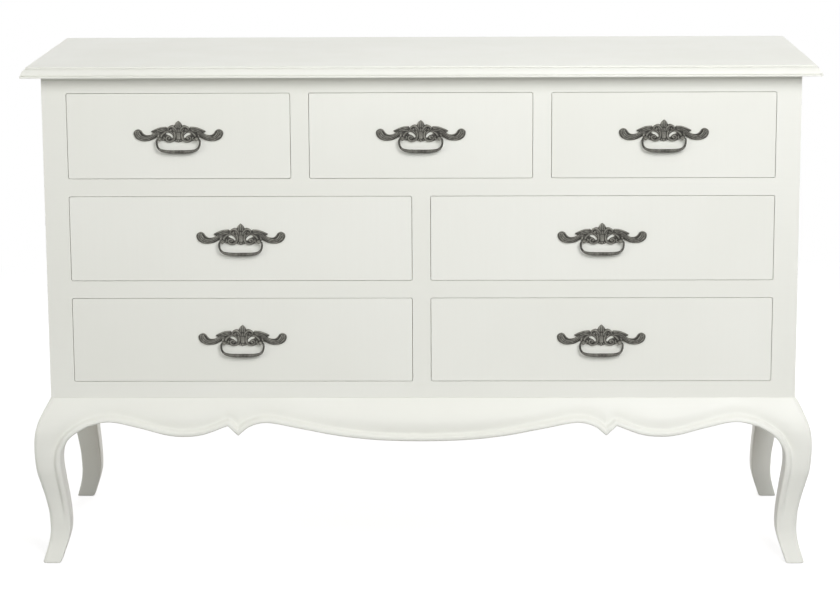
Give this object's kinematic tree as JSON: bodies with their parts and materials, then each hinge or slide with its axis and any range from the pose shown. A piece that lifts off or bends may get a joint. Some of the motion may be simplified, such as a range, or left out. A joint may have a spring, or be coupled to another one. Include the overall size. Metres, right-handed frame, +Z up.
{
  "type": "chest of drawers",
  "caption": "Low painted chest of drawers in the French manner, with inset drawers, cast bail handles, a scalloped apron and cabriole legs.",
  "frame": {"origin": "on the floor, under the middle of the top panel", "axes": "+X to the right as seen from the front, -Y out of the drawer fronts, +Z up"},
  "size_m": [1.3, 0.45, 0.84],
  "materials": {
    "painted_wood": "satin ivory paint",
    "drawer_timber": "bare planed timber",
    "plywood": "bare plywood",
    "handle_metal": "aged pewter patina, worn bright on the high places"
  },
  "bodies": {
    "case": {"top_panel": "painted_wood", "left_side_panel": "painted_wood", "right_side_panel": "painted_wood", "back_panel": "plywood", "left_stile": "painted_wood", "right_stile": "painted_wood", "top_rail": "painted_wood", "upper_rail": "painted_wood", "lower_rail": "painted_wood", "bottom_rail": "painted_wood", "upper_mullion_left": "painted_wood", "upper_mullion_right": "painted_wood", "middle_mullion": "painted_wood", "lower_mullion": "painted_wood", "upper_web_frame": "drawer_timber", "middle_web_frame": "drawer_timber", "lower_web_frame": "drawer_timber", "front_apron": "painted_wood", "left_apron": "painted_wood", "right_apron": "painted_wood", "rear_apron": "painted_wood", "leg_front_left": "painted_wood", "leg_front_right": "painted_wood", "leg_rear_left": "painted_wood", "leg_rear_right": "painted_wood"},
    "upper_left_drawer": {"upper_left_drawer_front": "painted_wood", "upper_left_drawer_box": "drawer_timber", "upper_left_drawer_bottom": "plywood", "upper_left_handle_plate": "handle_metal"},
    "upper_left_bail": {"upper_left_handle_bail": "handle_metal"},
    "upper_middle_drawer": {"upper_middle_drawer_front": "painted_wood", "upper_middle_drawer_box": "drawer_timber", "upper_middle_drawer_bottom": "plywood", "upper_middle_handle_plate": "handle_metal"},
    "upper_middle_bail": {"upper_middle_handle_bail": "handle_metal"},
    "upper_right_drawer": {"upper_right_drawer_front": "painted_wood", "upper_right_drawer_box": "drawer_timber", "upper_right_drawer_bottom": "plywood", "upper_right_handle_plate": "handle_metal"},
    "upper_right_bail": {"upper_right_handle_bail": "handle_metal"},
    "middle_left_drawer": {"middle_left_drawer_front": "painted_wood", "middle_left_drawer_box": "drawer_timber", "middle_left_drawer_bottom": "plywood", "middle_left_handle_plate": "handle_metal"},
    "middle_left_bail": {"middle_left_handle_bail": "handle_metal"},
    "middle_right_drawer": {"middle_right_drawer_front": "painted_wood", "middle_right_drawer_box": "drawer_timber", "middle_right_drawer_bottom": "plywood", "middle_right_handle_plate": "handle_metal"},
    "middle_right_bail": {"middle_right_handle_bail": "handle_metal"},
    "lower_left_drawer": {"lower_left_drawer_front": "painted_wood", "lower_left_drawer_box": "drawer_timber", "lower_left_drawer_bottom": "plywood", "lower_left_handle_plate": "handle_metal"},
    "lower_left_bail": {"lower_left_handle_bail": "handle_metal"},
    "lower_right_drawer": {"lower_right_drawer_front": "painted_wood", "lower_right_drawer_box": "drawer_timber", "lower_right_drawer_bottom": "plywood", "lower_right_handle_plate": "handle_metal"},
    "lower_right_bail": {"lower_right_handle_bail": "handle_metal"}
  },
  "joints": [
    {"name": "upper_left_slide", "type": "slide", "parent": "case", "child": "upper_left_drawer", "axis": [0, -1, 0], "range_m": [0, 0.28]},
    {"name": "upper_middle_slide", "type": "slide", "parent": "case", "child": "upper_middle_drawer", "axis": [0, -1, 0], "range_m": [0, 0.28]},
    {"name": "upper_right_slide", "type": "slide", "parent": "case", "child": "upper_right_drawer", "axis": [0, -1, 0], "range_m": [0, 0.28]},
    {"name": "middle_left_slide", "type": "slide", "parent": "case", "child": "middle_left_drawer", "axis": [0, -1, 0], "range_m": [0, 0.28]},
    {"name": "middle_right_slide", "type": "slide", "parent": "case", "child": "middle_right_drawer", "axis": [0, -1, 0], "range_m": [0, 0.28]},
    {"name": "lower_left_slide", "type": "slide", "parent": "case", "child": "lower_left_drawer", "axis": [0, -1, 0], "range_m": [0, 0.28]},
    {"name": "lower_right_slide", "type": "slide", "parent": "case", "child": "lower_right_drawer", "axis": [0, -1, 0], "range_m": [0, 0.28]},
    {"name": "upper_left_bail_pivot", "type": "hinge", "parent": "upper_left_drawer", "child": "upper_left_bail", "pos_m": [-0.39667, -0.203, 0.719], "axis": [-1, 0, 0], "range_deg": [-10, 150]},
    {"name": "upper_middle_bail_pivot", "type": "hinge", "parent": "upper_middle_drawer", "child": "upper_middle_bail", "pos_m": [0, -0.203, 0.719], "axis": [-1, 0, 0], "range_deg": [-10, 150]},
    {"name": "upper_right_bail_pivot", "type": "hinge", "parent": "upper_right_drawer", "child": "upper_right_bail", "pos_m": [0.39667, -0.203, 0.719], "axis": [-1, 0, 0], "range_deg": [-10, 150]},
    {"name": "middle_left_bail_pivot", "type": "hinge", "parent": "middle_left_drawer", "child": "middle_left_bail", "pos_m": [-0.2975, -0.203, 0.548], "axis": [-1, 0, 0], "range_deg": [-10, 150]},
    {"name": "middle_right_bail_pivot", "type": "hinge", "parent": "middle_right_drawer", "child": "middle_right_bail", "pos_m": [0.2975, -0.203, 0.548], "axis": [-1, 0, 0], "range_deg": [-10, 150]},
    {"name": "lower_left_bail_pivot", "type": "hinge", "parent": "lower_left_drawer", "child": "lower_left_bail", "pos_m": [-0.2975, -0.203, 0.377], "axis": [-1, 0, 0], "range_deg": [-10, 150]},
    {"name": "lower_right_bail_pivot", "type": "hinge", "parent": "lower_right_drawer", "child": "lower_right_bail", "pos_m": [0.2975, -0.203, 0.377], "axis": [-1, 0, 0], "range_deg": [-10, 150]}
  ]
}
